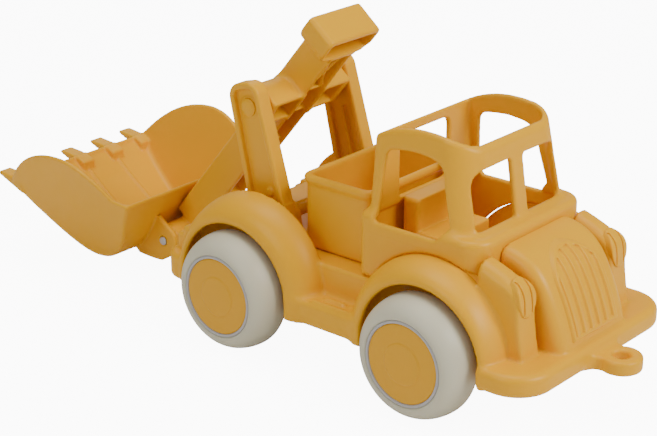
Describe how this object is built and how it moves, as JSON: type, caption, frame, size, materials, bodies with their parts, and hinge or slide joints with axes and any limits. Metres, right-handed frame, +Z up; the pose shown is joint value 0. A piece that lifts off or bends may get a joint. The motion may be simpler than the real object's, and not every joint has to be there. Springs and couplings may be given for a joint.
{
  "type": "toy excavator",
  "caption": "Moulded plastic toy truck with open-roofed cab, tub, rolling wheels and a rear digger arm whose legs, boom and toothed bucket all tilt.",
  "frame": {"origin": "middle of the toy's plan box, on the ground under it", "axes": "+Z up, -Y the way the truck drives, +Y towards the bucket, +X the driver's left"},
  "size_m": [0.1404, 0.3824, 0.1632],
  "materials": {
    "yellow_plastic": "satin moulded polyethylene",
    "disc_plastic": "satin moulded plastic",
    "tyre_plastic": "soft off-white moulded plastic",
    "axle_steel": "drawn steel"
  },
  "bodies": {
    "chassis_body": {"chassis": "yellow_plastic", "cab": "yellow_plastic", "seat": "yellow_plastic", "tub": "yellow_plastic", "leg_pivot_rod": "axle_steel"},
    "front_wheels": {"front_axle": "axle_steel", "front_left_hub": "disc_plastic", "front_left_tyre": "tyre_plastic", "front_right_hub": "disc_plastic", "front_right_tyre": "tyre_plastic"},
    "rear_wheels": {"rear_axle": "axle_steel", "rear_left_hub": "disc_plastic", "rear_left_tyre": "tyre_plastic", "rear_right_hub": "disc_plastic", "rear_right_tyre": "tyre_plastic"},
    "legs": {"leg_left": "yellow_plastic", "leg_right": "yellow_plastic"},
    "boom_body": {"boom": "yellow_plastic", "boom_pin_left": "yellow_plastic", "boom_pin_right": "yellow_plastic"},
    "bucket_body": {"bucket": "yellow_plastic", "bucket_pin": "axle_steel"}
  },
  "joints": [
    {"name": "front_wheels_roll", "type": "hinge", "parent": "chassis_body", "child": "front_wheels", "pos_m": [0, -0.10975, 0.03], "axis": [1, 0, 0], "continuous": true},
    {"name": "rear_wheels_roll", "type": "hinge", "parent": "chassis_body", "child": "rear_wheels", "pos_m": [0, 0.00495, 0.03], "axis": [1, 0, 0], "continuous": true},
    {"name": "legs_swing", "type": "hinge", "parent": "chassis_body", "child": "legs", "pos_m": [0, -0.00045, 0.0614], "axis": [1, 0, 0], "range_deg": [-8, 14]},
    {"name": "boom_tilt", "type": "hinge", "parent": "legs", "child": "boom_body", "pos_m": [0, 0.01401, 0.11653], "axis": [1, 0, 0], "range_deg": [-4, 50]},
    {"name": "bucket_curl", "type": "hinge", "parent": "boom_body", "child": "bucket_body", "pos_m": [0, 0.08775, 0.02351], "axis": [1, 0, 0], "range_deg": [-70, 0.5]}
  ]
}
